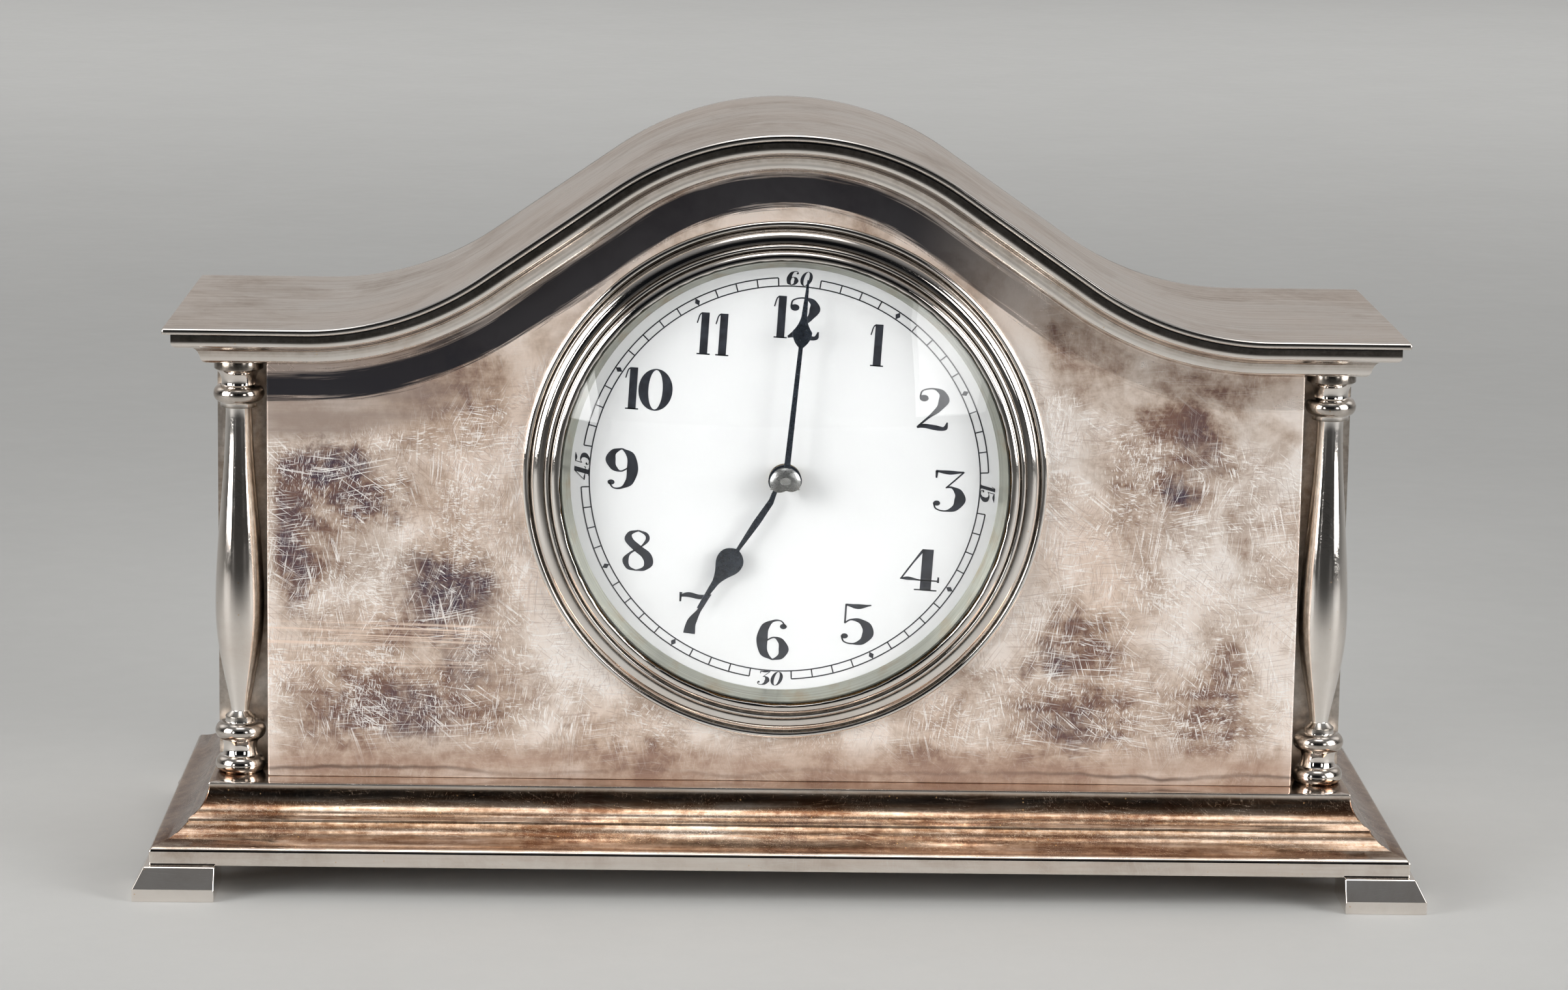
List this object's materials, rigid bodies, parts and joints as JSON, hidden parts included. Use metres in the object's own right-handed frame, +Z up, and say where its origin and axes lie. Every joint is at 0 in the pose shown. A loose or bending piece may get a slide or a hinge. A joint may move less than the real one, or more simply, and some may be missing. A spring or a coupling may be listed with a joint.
{
  "type": "tambour mantel clock",
  "caption": "Silver-plated mantel clock: arched moulded case with columns on a footed plinth, glazed enamel dial with blued hands, spring lever movement wound behind a hinged back door.",
  "frame": {"origin": "on the floor plane, under the middle of the case", "axes": "+X to the right as seen from the dial side, +Y towards the back, +Z up"},
  "size_m": [0.204, 0.0822, 0.121],
  "materials": {
    "silver_plate": "silver plate on brass, polished and tarnished",
    "satin_silver": "satin silver plate",
    "core_wood": "plain sawn beech",
    "clear_glass": "polished domed glass",
    "white_enamel": "white fired enamel with black print",
    "blued_steel": "heat-blued steel",
    "steel": "polished steel",
    "brass": "bright brass"
  },
  "bodies": {
    "case": {"back_panel": "silver_plate", "back_plate": "brass", "balance_cock": "brass", "bezel": "silver_plate", "click_spring": "steel", "column_left": "silver_plate", "column_right": "silver_plate", "cornice_back": "silver_plate", "cornice_front": "silver_plate", "cornice_left": "silver_plate", "cornice_right": "silver_plate", "dial": "white_enamel", "drum_ring": "brass", "foot_back_left": "silver_plate", "foot_back_right": "silver_plate", "foot_front_left": "silver_plate", "foot_front_right": "silver_plate", "front_panel": "silver_plate", "front_plate": "brass", "glass": "clear_glass", "hairspring": "blued_steel", "hinge_pin": "steel", "movement_drum": "brass", "plate_pillars": "brass", "plate_screws": "steel", "plinth": "silver_plate", "plinth_core": "core_wood", "roof_plate": "silver_plate", "side_wall_left": "silver_plate", "side_wall_right": "silver_plate", "sight_ring": "satin_silver"},
    "door": {"back_door": "silver_plate", "door_knob": "silver_plate"},
    "hands": {"centre_arbor": "steel", "cannon_pinion": "steel", "minute_hand": "blued_steel", "hand_collet": "steel", "setting_knob": "brass"},
    "motion": {"minute_wheel": "brass"},
    "hour": {"hour_wheel": "brass", "hour_hand": "blued_steel"},
    "third": {"third_wheel": "brass", "third_arbor": "steel"},
    "centre": {"centre_wheel": "brass", "centre_pinion": "steel"},
    "intermediate": {"intermediate_wheel": "brass", "intermediate_arbor": "steel"},
    "great": {"barrel": "brass", "mainspring": "steel"},
    "fourth": {"fourth_wheel": "brass", "fourth_arbor": "steel"},
    "escape": {"escape_wheel": "brass", "escape_arbor": "steel"},
    "winder": {"barrel_arbor": "steel", "ratchet_wheel": "steel", "winding_key": "brass"},
    "click_body": {"click": "steel"},
    "lever": {"pallet_lever": "steel"},
    "balance": {"balance_wheel": "brass"},
    "index": {"regulator": "steel"}
  },
  "joints": [
    {"name": "door_open", "type": "hinge", "parent": "case", "child": "door", "pos_m": [0.0377, 0.02675, 0.059], "axis": [0, 0, -1], "range_deg": [0, 105]},
    {"name": "hands_turn", "type": "hinge", "parent": "case", "child": "hands", "pos_m": [0, -0.0094, 0.06545], "axis": [0, 1, 0], "continuous": true},
    {"name": "minute_wheel_turn", "type": "hinge", "parent": "case", "child": "motion", "pos_m": [0.00831, -0.0192, 0.06065], "axis": [0, 1, 0], "continuous": true},
    {"name": "hour_turn", "type": "hinge", "parent": "case", "child": "hour", "pos_m": [0, -0.0207, 0.06545], "axis": [0, 1, 0], "continuous": true},
    {"name": "third_turn", "type": "hinge", "parent": "case", "child": "third", "pos_m": [-0.00757, -0.0094, 0.07626], "axis": [0, 1, 0], "continuous": true},
    {"name": "centre_turn", "type": "hinge", "parent": "case", "child": "centre", "pos_m": [0, -0.0094, 0.06545], "axis": [0, 1, 0], "continuous": true},
    {"name": "intermediate_turn", "type": "hinge", "parent": "case", "child": "intermediate", "pos_m": [-0.01026, -0.0094, 0.05698], "axis": [0, 1, 0], "continuous": true},
    {"name": "barrel_turn", "type": "hinge", "parent": "case", "child": "great", "pos_m": [0, -0.0094, 0.04745], "axis": [0, 1, 0], "continuous": true},
    {"name": "fourth_turn", "type": "hinge", "parent": "case", "child": "fourth", "pos_m": [0.00067, -0.0094, 0.08102], "axis": [0, 1, 0], "continuous": true},
    {"name": "escape_turn", "type": "hinge", "parent": "case", "child": "escape", "pos_m": [0.00477, -0.0094, 0.08812], "axis": [0, 1, 0], "continuous": true},
    {"name": "winding", "type": "hinge", "parent": "case", "child": "winder", "pos_m": [0, 0.0012, 0.04745], "axis": [0, 1, 0], "range_deg": [0, 1440]},
    {"name": "click_lift", "type": "hinge", "parent": "case", "child": "click_body", "pos_m": [-0.00996, 0.0012, 0.05108], "axis": [0, -1, 0], "range_deg": [0, 8], "stiffness_Nm_per_rad": 0.002},
    {"name": "lever_rock", "type": "hinge", "parent": "case", "child": "lever", "pos_m": [0.00914, -0.0071, 0.08591], "axis": [0, 1, 0], "range_deg": [-3.5, 3.5]},
    {"name": "balance_swing", "type": "hinge", "parent": "case", "child": "balance", "pos_m": [0.016, 0.0032, 0.08245], "axis": [0, 1, 0], "range_deg": [-220, 220], "stiffness_Nm_per_rad": 0.0000075},
    {"name": "regulator_turn", "type": "hinge", "parent": "case", "child": "index", "pos_m": [0.016, 0.0059, 0.08245], "axis": [0, 1, 0], "range_deg": [-25, 25]}
  ],
  "couplings": [
    {"joint": "minute_wheel_turn", "follows": "hands_turn", "ratio": -0.33333},
    {"joint": "hour_turn", "follows": "hands_turn", "ratio": 0.083333},
    {"joint": "centre_turn", "follows": "third_turn", "ratio": -0.1},
    {"joint": "intermediate_turn", "follows": "third_turn", "ratio": 0.016667},
    {"joint": "barrel_turn", "follows": "third_turn", "ratio": -0.0027778},
    {"joint": "fourth_turn", "follows": "third_turn", "ratio": -7.5},
    {"joint": "escape_turn", "follows": "third_turn", "ratio": 60}
  ]
}
